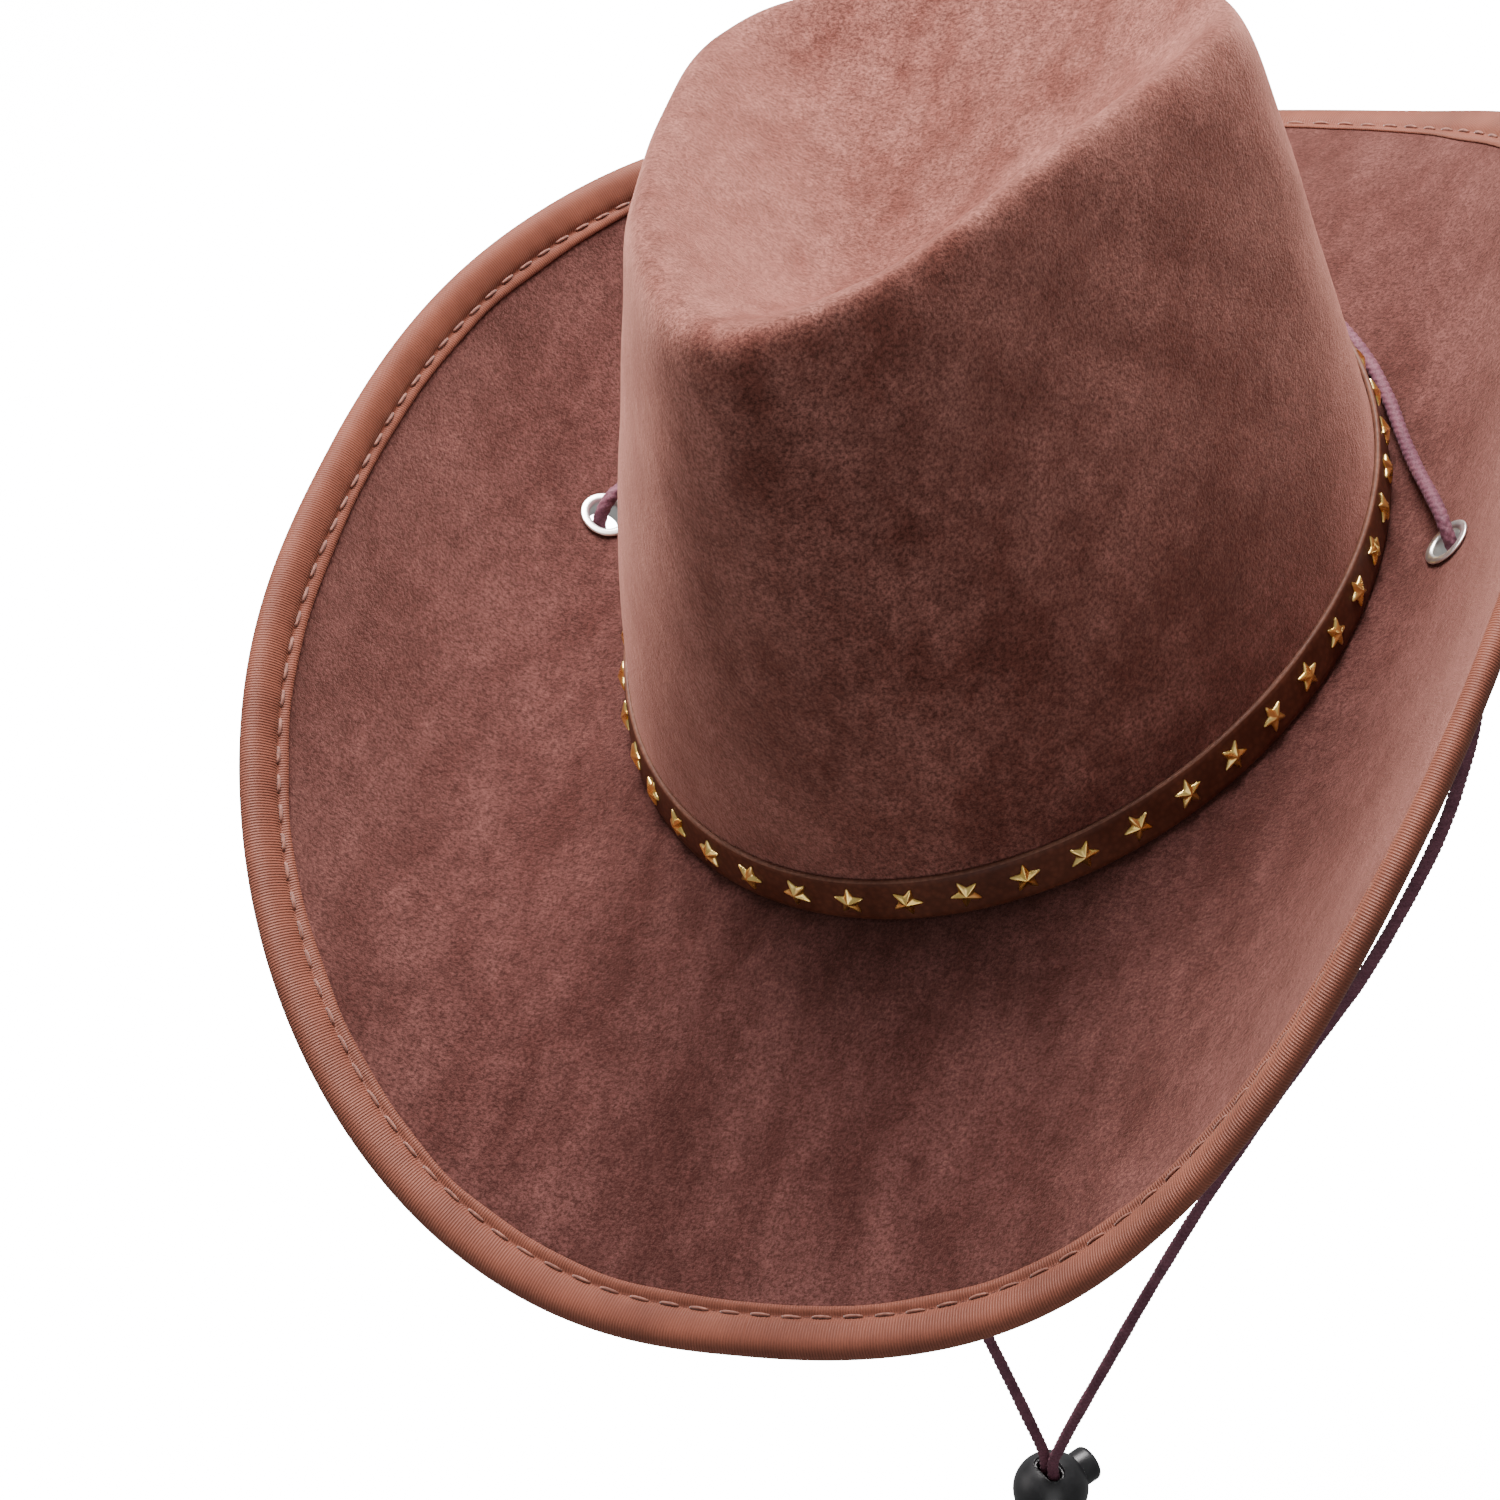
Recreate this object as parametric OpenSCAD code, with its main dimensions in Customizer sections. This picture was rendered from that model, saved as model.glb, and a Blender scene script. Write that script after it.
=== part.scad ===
// Western-style costume hat: suede cloth over a stiffened crown and brim, a narrow
// star-studded strap, a bound wire edge and a chin cord with a sliding lock.
// The origin is the middle of the head opening, level with the top of the brim.
// +Z is up, -Y is the front, +X is the wearer's left.

/* [Head opening] */
// Half width of the opening, inside the sweatband
head_half_w = 81.5; // [76:0.5:88]
// Half length of the opening, inside the sweatband
head_half_l = 99; // [94:0.5:105]
// Height of the sweatband
sweat_h = 32; // [20:1:38]

/* [Layers] */
// Thickness of the suede cloth
suede_t = 0.8; // [0.6:0.1:1]
// Thickness of the stiff lining of the crown
stiffener_t = 1.1; // [0.8:0.1:1.3]
// Thickness of the board inside the brim
core_t = 1.6; // [1.2:0.1:2]
// Thickness of the sweatband
sweat_t = 0.9; // [0.6:0.1:1.2]

/* [Crown] */
// Height of the pinched front of the crown
crown_front_h = 140; // [120:1:150]
// Height of the back of the crown
crown_back_h = 98; // [90:1:120]
// Half width of the ridge where it is widest
ridge_half_w = 62; // [55:0.5:66]
// Front tip of the ridge, ahead of the origin
ridge_front = 78; // [66:1:80]
// Back of the ridge, behind the origin
ridge_back = 93; // [86:1:95]
// Place of the ridge's widest point, behind the origin
ridge_wide_y = 56; // [50:1:64]
// Depth of the dent in the top, below the ridge
dent_depth = 26; // [16:1:32]
// Sideways lean of the crown's back, as worn
crown_lean = 4.5; // [0:0.5:5]

/* [Brim] */
// Half width of the brim board at the sides
brim_half_w = 140; // [130:1:146]
// Reach of the brim board to the front, from its widest line
brim_front = 182; // [172:1:190]
// Reach of the brim board to the back, from its widest line
brim_back = 200; // [185:1:205]
// Height of the curled sides at the edge
side_curl = 54; // [40:1:60]
// Drop of the front and back edges
end_dip = 21; // [12:1:26]

/* [Edge binding] */
// Width of the tape on each face of the brim
tape_w = 8; // [6:0.5:9]
// Thickness of the folded tape
tape_t = 0.65; // [0.5:0.05:0.8]
// Diameter of the wire in the edge
wire_d = 1.8; // [1.4:0.1:1.9]
// Distance between stitches
stitch_pitch = 7; // [6:0.5:9]

/* [Strap] */
// Height of the strap
strap_h = 10.5; // [9:0.5:12]
// Thickness of the strap
strap_t = 1.5; // [1.2:0.1:1.6]
// Number of star studs round the strap
star_count = 46; // [40:1:48]
// Width of one star, tip to tip
star_w = 7; // [5:0.5:8]

/* [Eyelets] */
// Outer diameter of an eyelet
eyelet_d = 12.2; // [11.5:0.1:12.6]
// Diameter of the hole through an eyelet
eyelet_hole = 7.6; // [7.2:0.1:8]

/* [Chin cord] */
// Diameter of the braided cord
cord_d = 3.2; // [2.6:0.1:3.3]
// Diameter of the lock's ball
lock_d = 20.8; // [20:0.1:21.5]
// Travel of the lock's button
button_travel = 2.5; // [1.5:0.1:2.6]

/* [Hidden] */

// Colours
suede_red = [0.37, 0.22, 0.20];
lining_tan = [0.72, 0.66, 0.58];
tape_rust = [0.56, 0.33, 0.27];
strap_brown = [0.25, 0.14, 0.11];
thread_tan = [0.66, 0.45, 0.36];
cord_plum = [0.33, 0.20, 0.24];
lock_black = [0.09, 0.09, 0.10];
steel = [0.80, 0.80, 0.80];
gold = [0.85, 0.64, 0.25];

// Steps round the hat
around = 72;
angles = [for (i = [0 : around - 1]) 360 * i / around];
brim_t = 2 * suede_t + core_t;
// Room between pieces that are only stitched or glued together
layer_gap = 0.2;
sweat_gap = 0.5;
sweat_outer = suede_t + stiffener_t + sweat_gap;
sweat_inner = sweat_outer + sweat_t;
// Outer half axes of the crown at its base
base_w = head_half_w + sweat_inner;
base_l = head_half_l + sweat_inner;

// ---- Vectors, spline and solids made of rings ----

function unit(v) = v / norm(v);
function mix(a, b, share) = a * (1 - share) + b * share;
function power(x, e) = sign(x) * pow(abs(x), e);

// Point on a clamped cubic spline by de Boor's rule; share runs from 0 to 1
function knot(i, spans) = max(0, min(spans, i - 3)) / spans;
function spline_at(keys, share) =
    let (spans = len(keys) - 3)
    let (span = min(floor(share * spans), spans - 1) + 3)
    de_boor([for (j = [0 : 3]) keys[span - 3 + j]], share, span, spans, 1);
function de_boor(d, share, span, spans, level) =
    level > 3 ? d[3] :
    de_boor(
        [for (j = [0 : 3])
            j < level ? d[j] :
            let (low = knot(span - 3 + j, spans))
            let (high = knot(span + 1 + j - level, spans))
            mix(d[j - 1], d[j], (share - low) / (high - low))],
        share, span, spans, level + 1);

// Triangles between two neighbouring rings of n points; turned ones have the other diagonal
function band_faces(first, second, n, turned) = [
    for (i = [0 : n - 1])
        let (next = (i + 1) % n)
        each turned
            ? [
                [first + i, second + i, first + next],
                [second + i, second + next, first + next]
            ]
            : [
                [first + i, second + i, second + next],
                [first + i, second + next, first + next]
            ]
];
function is_between(k, range) = k >= range[0] && k < range[1];

// Rings that close on themselves, as round a loop of cloth. Steps in the range turned
// have the other diagonal, so that layers which touch are split alike.
module loop_solid(rings, inside_out = false, turned = [0, 0]) {
    n = len(rings[0]);
    count = len(rings);
    faces = [
        for (k = [0 : count - 1])
            each band_faces(k * n, ((k + 1) % count) * n, n, is_between(k, turned))
    ];
    polyhedron(
        points = [for (ring = rings) each ring],
        faces = inside_out ? [for (f = faces) [f[0], f[2], f[1]]] : faces
    );
}

// Rings with a flat or pointed cap at each end
module capped_solid(rings, first_tip, last_tip, turned = [0, 0]) {
    n = len(rings[0]);
    count = len(rings);
    polyhedron(
        points = concat([for (ring = rings) each ring], [first_tip, last_tip]),
        faces = concat(
            [for (k = [0 : count - 2]) each band_faces(k * n, (k + 1) * n, n, is_between(k, turned))],
            [for (i = [0 : n - 1]) [n * count, i, (i + 1) % n]],
            [for (i = [0 : n - 1]) [n * count + 1, n * (count - 1) + (i + 1) % n, n * (count - 1) + i]]
        )
    );
}

// Tube along a route, its rings carried along without twist
cord_sides = 8;
function route_dir(route, i) =
    unit(route[min(i + 1, len(route) - 1)] - route[max(i - 1, 0)]);
function square_to(v, dir) = unit(v - (v * dir) * dir);
module tube(route, d, first_side, sides = cord_sides) {
    last = len(route) - 1;
    rings = [
        for (i = 0, side = square_to(first_side, route_dir(route, 0));
            i <= last;
            i = i + 1, side = square_to(side, route_dir(route, min(i, last))))
            let (up = cross(route_dir(route, i), side))
            [for (k = [0 : sides - 1])
                route[i] + d / 2 * (cos(360 * k / sides) * side + sin(360 * k / sides) * up)]
    ];
    capped_solid(rings, route[0], route[last]);
}

// ---- Crown ----

// How the ridge falls from front to back
ridge_fall = 1.5;
function base_point(angle, inset) =
    [(base_w - inset) * sin(angle), -(base_l - inset) * cos(angle), 0];
function ridge_y(angle) =
    cos(angle) > 0
        ? ridge_wide_y - (ridge_front + ridge_wide_y) * pow(cos(angle), 1.5)
        : ridge_wide_y - (ridge_back - ridge_wide_y) * cos(angle);
function ridge_back_share(y) = max(0, y + ridge_front) / (ridge_front + ridge_back);
function ridge_h(y) =
    crown_front_h - (crown_front_h - crown_back_h) * pow(ridge_back_share(y), ridge_fall);
function ridge_point(angle) =
    let (y = ridge_y(angle))
    [ridge_half_w * sin(angle) + crown_lean * ridge_back_share(y), y, ridge_h(y)];
// Lowest point of the dent
dent_y = 20;
dent_point = [crown_lean / 2, dent_y, ridge_h(dent_y) - dent_depth];
function plan_mix(a, b, plan_share, height_share) =
    let (p = mix(a, b, plan_share))
    [p.x, p.y, mix(a.z, b.z, height_share)];
// Spline keys up the wall, over the soft ridge and down into the dent
function crown_keys(angle) =
    let (base = base_point(angle, 0))
    let (ridge = ridge_point(angle))
    [
        base,
        plan_mix(base, ridge, 0.14, 0.28),
        plan_mix(base, ridge, 0.4, 0.56),
        plan_mix(base, ridge, 0.82, 0.88),
        plan_mix(ridge, dent_point, 0.02, 0) + [0, 0, 6],
        plan_mix(ridge, dent_point, 0.17, 0.1) + [0, 0, 2],
        plan_mix(ridge, dent_point, 0.45, 0.68),
        plan_mix(ridge, dent_point, 0.75, 1),
        dent_point
    ];
slight = 0.01;
function crown_face(angle, share) = spline_at(crown_keys(angle), share);
function crown_normal(angle, share) =
    unit(cross(
        crown_face(angle + 1, share) - crown_face(angle - 1, share),
        crown_face(angle, share + slight) - crown_face(angle, share - slight)
    ));
// Point at a depth below the crown's face; the foot is cut level
function crown_point(angle, share, depth) =
    share == 0 ? base_point(angle, depth) :
    crown_face(angle, share) - depth * crown_normal(angle, share);

// Shares of the spline at which the crown has a ring
crown_shares = [0, 0.1, 0.2, 0.3, 0.4, 0.47, 0.53, 0.59, 0.65, 0.71, 0.78, 0.86, 0.94];
function crown_ring(share, depth) = [for (angle = angles) crown_point(angle, share, depth)];
function foot_ring(depth) = [for (angle = angles) base_point(angle, depth) - [0, 0, brim_t]];
// One cup-shaped layer of the crown between two depths below its face
module crown_layer(outer, inner) {
    rings = concat(
        [for (k = [len(crown_shares) - 1 : -1 : 0]) crown_ring(crown_shares[k], inner)],
        [foot_ring(inner), foot_ring(outer)],
        [for (share = crown_shares) crown_ring(share, outer)]
    );
    inner_tip = dent_point - [0, 0, inner];
    outer_tip = dent_point - [0, 0, outer];
    capped_solid(rings, inner_tip, outer_tip, turned = [0, len(crown_shares)]);
}

// Point at a height low on the crown's wall, below the second of its rings
function wall_point(angle, h, depth) =
    let (upper = crown_point(angle, crown_shares[1], depth))
    mix(base_point(angle, depth), upper, h / upper.z);
function wall_ring(h, depth) = [for (angle = angles) wall_point(angle, h, depth)];

module crown_suede() {
    color(suede_red) crown_layer(0, suede_t);
}

module crown_stiffener() {
    color(lining_tan) crown_layer(suede_t, suede_t + stiffener_t);
}

// ---- Sweatband ----

module sweatband() {
    color(strap_brown) loop_solid([
        wall_ring(sweat_h, sweat_inner),
        wall_ring(0, sweat_inner),
        foot_ring(sweat_inner),
        foot_ring(sweat_outer),
        wall_ring(0, sweat_outer),
        wall_ring(sweat_h, sweat_outer)
    ]);
}

// ---- Brim ----

// Squareness of the brim's outline at the front and at the back
front_square = 2.53;
back_square = 2.2;
// The brim is widest this far ahead of the origin
brim_wide_y = -18;
function edge_point(angle) =
    let (front = cos(angle) > 0)
    let (e = 2 / (front ? front_square : back_square))
    [
        brim_half_w * power(sin(angle), e),
        brim_wide_y - (front ? brim_front : brim_back) * power(cos(angle), e),
        0
    ];
// Top face of the brim; reach runs from 0 at the crown to 1 at the board's edge
function brim_surface(angle, reach) =
    let (p = mix(base_point(angle, 0), edge_point(angle), reach))
    let (curl = side_curl * pow(sin(angle), 2) * pow(reach, 2))
    let (dip = end_dip * pow(cos(angle), 2) * pow(reach, 1.2))
    [p.x, p.y, curl - dip];
function brim_out(angle, reach) =
    (brim_surface(angle, reach + slight) - brim_surface(angle, max(0, reach - slight)))
        / (reach + slight - max(0, reach - slight));
function brim_normal(angle, reach) =
    reach == 0 ? [0, 0, 1] :
    unit(cross(brim_surface(angle + 1, reach) - brim_surface(angle - 1, reach), brim_out(angle, reach)) * -1);
function brim_point(angle, reach, height) =
    brim_surface(angle, reach) + height * brim_normal(angle, reach);
// Reach of a point a few millimetres past the board's edge, or short of it
function past_edge(angle, distance) = 1 + distance / norm(brim_out(angle, 1));

// Shares of the way from the crown to the tape at which the brim has a ring
brim_shares = [0, 0.14, 0.27, 0.4, 0.58, 0.78, 1];
brim_steps = len(brim_shares) - 1;
function brim_ring(step, height) = [
    for (angle = angles)
        let (reach = step > brim_steps ? 1 : past_edge(angle, -tape_w) * brim_shares[step])
        brim_point(angle, reach, height)
];
// One flat layer of the brim between two heights, pierced at the eyelets
module brim_layer(top, bottom) {
    difference() {
        loop_solid(
            concat(
                [for (step = [0 : brim_steps + 1]) brim_ring(step, top)],
                [for (step = [brim_steps + 1 : -1 : 0]) brim_ring(step, bottom)]
            ),
            turned = [brim_steps + 2, 2 * brim_steps + 3]
        );
        for (side = [-1, 1]) at_eyelet(side) translate([0, 0, -10]) cylinder(h = 20, d = barrel_d, $fn = 48);
    }
}

module brim_top_suede() {
    color(suede_red) brim_layer(0, -suede_t);
}

module brim_core() {
    color(lining_tan) brim_layer(-suede_t, -suede_t - core_t);
}

module brim_under_suede() {
    color(suede_red) brim_layer(-suede_t - core_t, -brim_t);
}

// ---- Wire, binding and stitches ----

// Middle of the wire, past the board's edge, at mid thickness
wire_out = 1.35;
roll_r = 2.8;
roll_out = 0.6;
roll_start = 1.5;
function edge_ring(out, height) =
    [for (angle = angles) brim_point(angle, past_edge(angle, out), height)];
function roll_ring(turn) =
    edge_ring(roll_out + roll_r * cos(turn), -brim_t / 2 + roll_r * sin(turn));

module brim_wire() {
    sides = 8;
    color(steel) loop_solid([
        for (k = [sides : -1 : 1])
            edge_ring(
                wire_out + wire_d / 2 * cos(360 * k / sides),
                -brim_t / 2 + wire_d / 2 * sin(360 * k / sides))
    ]);
}

module brim_binding() {
    inner = [
        edge_ring(-tape_w, 0),
        edge_ring(0, 0),
        edge_ring(1.9, -0.3),
        edge_ring(2.6, -brim_t / 2),
        edge_ring(1.9, -brim_t + 0.3),
        edge_ring(0, -brim_t),
        edge_ring(-tape_w, -brim_t)
    ];
    outer = [
        edge_ring(-tape_w, -brim_t - tape_t),
        edge_ring(-roll_start, -brim_t - tape_t),
        for (turn = [-70 : 35 : 70]) roll_ring(turn),
        edge_ring(-roll_start, tape_t),
        edge_ring(-tape_w, tape_t)
    ];
    under_tape = len(inner) - 2;
    color(tape_rust)
        loop_solid(concat(inner, outer), inside_out = true, turned = [under_tape, under_tape + 1]);
}

// A short thread lying between two points
module thread(from, to, d) {
    along = to - from;
    translate(from)
        rotate([0, acos(along.z / norm(along)), atan2(along.y, along.x)])
            cylinder(h = norm(along), d = d, $fn = 16);
}

// A closed line of points as rows of [distance run, point]
function measured(line) = [
    for (i = 0, run = 0;
        i <= len(line);
        i = i + 1, run = run + norm(line[i % len(line)] - line[i - 1]))
        [run, line[i % len(line)]]
];
function line_length(rows) = rows[len(rows) - 1][0];
function along(rows, run) = [
    for (axis = [0 : 2]) lookup(run % line_length(rows), [for (row = rows) [row[0], row[1][axis]]])
];

stitch_out = -5.3;
stitch_d = 0.7;
stitch_clear = 0.55;
stitch_share = 0.6;

module binding_stitches() {
    rows = measured(edge_ring(stitch_out, tape_t + stitch_clear));
    count = round(line_length(rows) / stitch_pitch);
    pitch = line_length(rows) / count;
    color(thread_tan)
        for (k = [0 : count - 1])
            thread(along(rows, pitch * k), along(rows, pitch * (k + stitch_share)), stitch_d);
}

sweat_stitch_count = 96;
sweat_stitch_h = 3;
sweat_stitch_d = 0.5;

module sweatband_stitches() {
    inset = sweat_inner + sweat_stitch_d / 2 + 2 * layer_gap;
    color(thread_tan)
        for (k = [0 : sweat_stitch_count - 1]) {
            start = 360 * k / sweat_stitch_count;
            from = wall_point(start, sweat_stitch_h, inset);
            to = wall_point(start + 2.2, sweat_stitch_h, inset);
            thread(from, to, sweat_stitch_d);
        }
}

// ---- Strap and stars ----

strap_low = 0.8;

module hat_band() {
    color(strap_brown) loop_solid([
        wall_ring(strap_low, -layer_gap),
        wall_ring(strap_low, -strap_t),
        wall_ring(strap_low + strap_h, -strap_t),
        wall_ring(strap_low + strap_h, -layer_gap)
    ]);
}

star_base = 0.35;
star_peak = 1.5;
star_valley = 0.42;
star_lift = 0.25;
module star() {
    rim = [
        for (i = [0 : 9])
            let (r = star_w / 2 * (i % 2 == 0 ? 1 : star_valley))
            [r * cos(36 * i), r * sin(36 * i), 0]
    ];
    capped_solid([rim, [for (p = rim) p + [0, 0, star_base]]], [0, 0, 0], [0, 0, star_peak]);
}

// The first star sits a little to the right of the middle of the front
first_star = -1.6;

module band_stars() {
    star_h = strap_low + strap_h / 2;
    fine_angles = [for (i = [0 : 4 * around - 1]) 90 * i / around];
    rows = measured([for (angle = fine_angles) base_point(angle, -strap_t - star_lift)]);
    color(gold)
        for (k = [0 : star_count - 1]) {
            run = line_length(rows) * (1 + k / star_count) + first_star;
            seat = along(rows, run);
            facing = atan2(seat.y / pow(base_l, 2), seat.x / pow(base_w, 2));
            translate(seat + [0, 0, star_h])
                rotate([0, 90, facing])
                    rotate([0, 0, (k * 47) % 72])
                        star();
        }
}

// ---- Eyelets ----

eyelet_angle = 96;
eyelet_reach = 0.32;
barrel_d = 8.8;
flange_t = 0.7;
// The brim is dished here, so the flange rests on its rim
flange_lift = 0.55;
washer_t = 0.6;
// Rolled end of the barrel, over the washer
roll_w = 0.7;
roll_h = 0.8;
// side is 1 on the wearer's left and -1 on the right
module at_eyelet(side) {
    seat = brim_surface(side * eyelet_angle, eyelet_reach);
    n = brim_normal(side * eyelet_angle, eyelet_reach);
    translate(seat)
        rotate([0, acos(n.z), atan2(n.y, n.x)])
            children();
}

module eyelet() {
    hole_r = eyelet_hole / 2;
    barrel_r = barrel_d / 2 - 0.1;
    low = -brim_t - washer_t - roll_h;
    flange_r = eyelet_d / 2 - flange_t / 2;
    rotate_extrude($fn = 48) {
        translate([hole_r, low]) square([barrel_r - hole_r, flange_lift + flange_t - low]);
        translate([hole_r, low]) square([barrel_r - hole_r + roll_w, roll_h - 0.02]);
        translate([hole_r, flange_lift]) square([flange_r - hole_r, flange_t]);
        translate([flange_r, flange_lift + flange_t / 2]) circle(d = flange_t, $fn = 24);
    }
}

module eyelet_washer() {
    translate([0, 0, -brim_t - washer_t])
        difference() {
            cylinder(h = washer_t - 0.03, d = eyelet_d, $fn = 48);
            translate([0, 0, -1]) cylinder(h = washer_t + 2, d = barrel_d, $fn = 48);
        }
}

module eyelet_right() {
    color(steel) at_eyelet(-1) eyelet();
}

module eyelet_left() {
    color(steel) at_eyelet(1) eyelet();
}

module eyelet_washer_right() {
    color(steel) at_eyelet(-1) eyelet_washer();
}

module eyelet_washer_left() {
    color(steel) at_eyelet(1) eyelet_washer();
}

// ---- Chin cord ----

// Stretch round the back of the crown, from the right eyelet to the middle of the back
back_route_half = [
    [-104, 8, 0.4], [-103.9, 8.2, 2.3], [-103.4, 8.6, 4.4], [-102.5, 9.6, 6.4],
    [-101.4, 11.4, 8], [-100, 14, 8.8], [-97.4, 18.6, 8.2], [-93.3, 25.4, 6.5],
    [-88, 34, 4.6], [-82, 44.5, 3.2], [-74.7, 58, 2.3], [-66.7, 70.3, 2],
    [-57.4, 81.5, 1.8], [-46.3, 91.2, 1.8], [-33, 98.9, 1.8], [-17, 104.6, 1.8], [0, 106.6, 1.8]
];
function mirrored(route) = [for (p = route) [-p.x, p.y, p.z]];
function reversed(list) = [for (i = [len(list) - 1 : -1 : 0]) list[i]];
back_route = concat(back_route_half, reversed([
    for (i = [0 : len(back_route_half) - 2]) mirrored(back_route_half)[i]
]));

// The lock hangs here, its cord hole leaning towards the middle of the hat
lock_at = [-87, 10, -365];
lock_tilt = 12;
lock_turn = 55;
cord_gap = 2;
knot_drop = 38;
// Point on a cord inside the lock, or on its tail; side is 1 for the right strand
function lock_run(side, height) =
    lock_at
        + side * cord_gap * [-sin(lock_turn) * cos(lock_tilt), cos(lock_turn), sin(lock_turn) * sin(lock_tilt)]
        + height * [sin(lock_tilt), 0, cos(lock_tilt)];
run_heights = [14, 4, -8, -22, -knot_drop + 3.5];
right_route = concat(
    [
        [-104, 8, -2], [-104, 8, -10], [-103.3, 8.1, -26], [-102, 8.4, -52],
        [-100, 8.9, -90], [-98, 9.6, -130], [-95.7, 9.8, -170], [-93.4, 10, -210],
        [-91.2, 10.2, -250], [-89, 10.5, -288], [-87.3, 10.8, -315], [-86.2, 11, -335]
    ],
    [for (h = run_heights) lock_run(1, h)]
);
left_route = concat(
    [
        [104, 8, -2], [104, 8, -10], [103, 8.1, -26], [100, 8.3, -40],
        [94, 8.5, -58], [83, 8.8, -84], [68, 9.1, -112], [50, 9.4, -142],
        [30, 9.6, -171], [9, 9.8, -202], [-12, 10, -234], [-35, 9.8, -271],
        [-56, 9.5, -306], [-71, 9.2, -331], [-78.5, 9, -344]
    ],
    [for (h = run_heights) lock_run(-1, h)]
);

module chin_cord_back() {
    color(cord_plum) tube(back_route, cord_d, [0, 1, 0]);
}

module chin_cord_right() {
    color(cord_plum) tube(right_route, cord_d, [0, 1, 0]);
}

module chin_cord_left() {
    color(cord_plum) tube(left_route, cord_d, [0, 1, 0]);
}

// ---- Cord lock ----

plunger_d = 10.2;
bore_d = plunger_d + 0.4;
bore_end = -7.8;
plunger_end = -3.4;
button_end = 14.6;
channel_d = 4.4;
module at_lock() {
    translate(lock_at) rotate([0, lock_tilt, 0]) rotate([0, 0, lock_turn]) children();
}

// Slot with round ends for the two cords
module cord_slot(d, h) {
    for (side = [-1, 1]) translate([0, side * cord_gap, 0]) cylinder(h = h, d = d, $fn = 32);
    translate([-d / 2, -cord_gap, 0]) cube([d, 2 * cord_gap, h]);
}

module chin_cord_knot() {
    knot_d = 8.8;
    color(cord_plum) at_lock() translate([0, 0, -knot_drop]) sphere(d = knot_d, $fn = 32);
}

module lock_body() {
    color(lock_black) at_lock()
        difference() {
            sphere(d = lock_d, $fn = 64);
            translate([0, 0, -lock_d]) cord_slot(channel_d, 2 * lock_d);
            translate([0, 0, lock_d / 2 - 1.8]) cord_slot(channel_d + 1.6, lock_d);
            translate([bore_end, 0, 0]) rotate([0, 90, 0]) cylinder(h = lock_d, d = bore_d, $fn = 48);
        }
}

module lock_plunger() {
    edge_r = 1.4;
    pinch = cord_d / 2 + 0.1;
    r = plunger_d / 2;
    color(lock_black) at_lock()
        difference() {
            rotate([0, 90, 0])
                rotate_extrude($fn = 48) {
                    translate([0, plunger_end]) square([r, button_end - edge_r - plunger_end]);
                    translate([0, plunger_end]) square([r - edge_r, button_end - plunger_end]);
                    translate([r - edge_r, button_end - edge_r]) intersection() {
                        circle(r = edge_r, $fn = 32);
                        square(edge_r);
                    }
                }
            translate([-pinch, -cord_gap - pinch, -r - 1])
                cube([2 * pinch + button_travel, 2 * (cord_gap + pinch), 2 * r + 2]);
        }
}

// Steel coil spring behind the plunger
module lock_spring() {
    spring_wire = 0.5;
    spring_d = 6.6;
    turns = 4;
    steps = 12 * turns;
    gap = 0.35;
    length = plunger_end - bore_end - 2 * gap - spring_wire;
    coil = [
        for (i = [0 : steps])
            let (turn = 360 * turns * i / steps)
            [
                bore_end + gap + spring_wire / 2 + length * i / steps,
                spring_d / 2 * cos(turn),
                spring_d / 2 * sin(turn)
            ]
    ];
    color(steel) at_lock() tube(coil, spring_wire, [1, 0, 0], sides = 6);
}

crown_suede();
crown_stiffener();
sweatband();
sweatband_stitches();
brim_top_suede();
brim_core();
brim_under_suede();
brim_wire();
brim_binding();
binding_stitches();
hat_band();
band_stars();
eyelet_right();
eyelet_left();
eyelet_washer_right();
eyelet_washer_left();
chin_cord_back();
chin_cord_right();
chin_cord_left();
chin_cord_knot();
lock_body();
lock_plunger();
lock_spring();
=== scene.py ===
"""Looks of the western-style costume hat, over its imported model.

Shapes are worked out in millimetres and turned into metres when a mesh is made.
The origin is the middle of the head opening, -Y is the front and +X the wearer's left.
"""

import math

import bmesh
import bpy
import numpy as np
from mathutils import Matrix, Vector


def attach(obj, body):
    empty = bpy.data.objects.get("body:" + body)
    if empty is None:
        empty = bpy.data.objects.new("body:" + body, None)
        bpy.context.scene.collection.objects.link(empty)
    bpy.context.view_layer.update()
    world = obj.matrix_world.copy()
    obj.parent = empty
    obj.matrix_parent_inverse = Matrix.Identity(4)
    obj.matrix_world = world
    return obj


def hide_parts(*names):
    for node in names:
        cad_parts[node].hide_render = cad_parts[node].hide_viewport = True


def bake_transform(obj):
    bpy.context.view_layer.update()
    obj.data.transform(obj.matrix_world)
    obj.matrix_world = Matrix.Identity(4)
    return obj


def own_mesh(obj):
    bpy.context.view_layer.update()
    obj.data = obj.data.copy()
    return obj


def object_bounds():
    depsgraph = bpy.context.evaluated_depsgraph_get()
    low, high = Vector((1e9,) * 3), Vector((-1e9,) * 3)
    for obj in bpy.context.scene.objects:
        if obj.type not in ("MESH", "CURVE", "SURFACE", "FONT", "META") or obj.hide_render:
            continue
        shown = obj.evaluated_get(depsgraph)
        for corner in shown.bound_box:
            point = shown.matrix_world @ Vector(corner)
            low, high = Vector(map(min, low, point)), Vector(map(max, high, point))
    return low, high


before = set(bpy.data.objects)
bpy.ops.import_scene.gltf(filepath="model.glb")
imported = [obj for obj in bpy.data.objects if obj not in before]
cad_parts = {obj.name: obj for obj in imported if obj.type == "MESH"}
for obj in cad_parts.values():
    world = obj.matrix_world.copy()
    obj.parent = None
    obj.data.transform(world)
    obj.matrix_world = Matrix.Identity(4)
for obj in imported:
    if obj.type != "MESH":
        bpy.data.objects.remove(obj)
cad_low, cad_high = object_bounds()
MM = 0.001

# ---- Sizes, as in the CAD source ----

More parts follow.
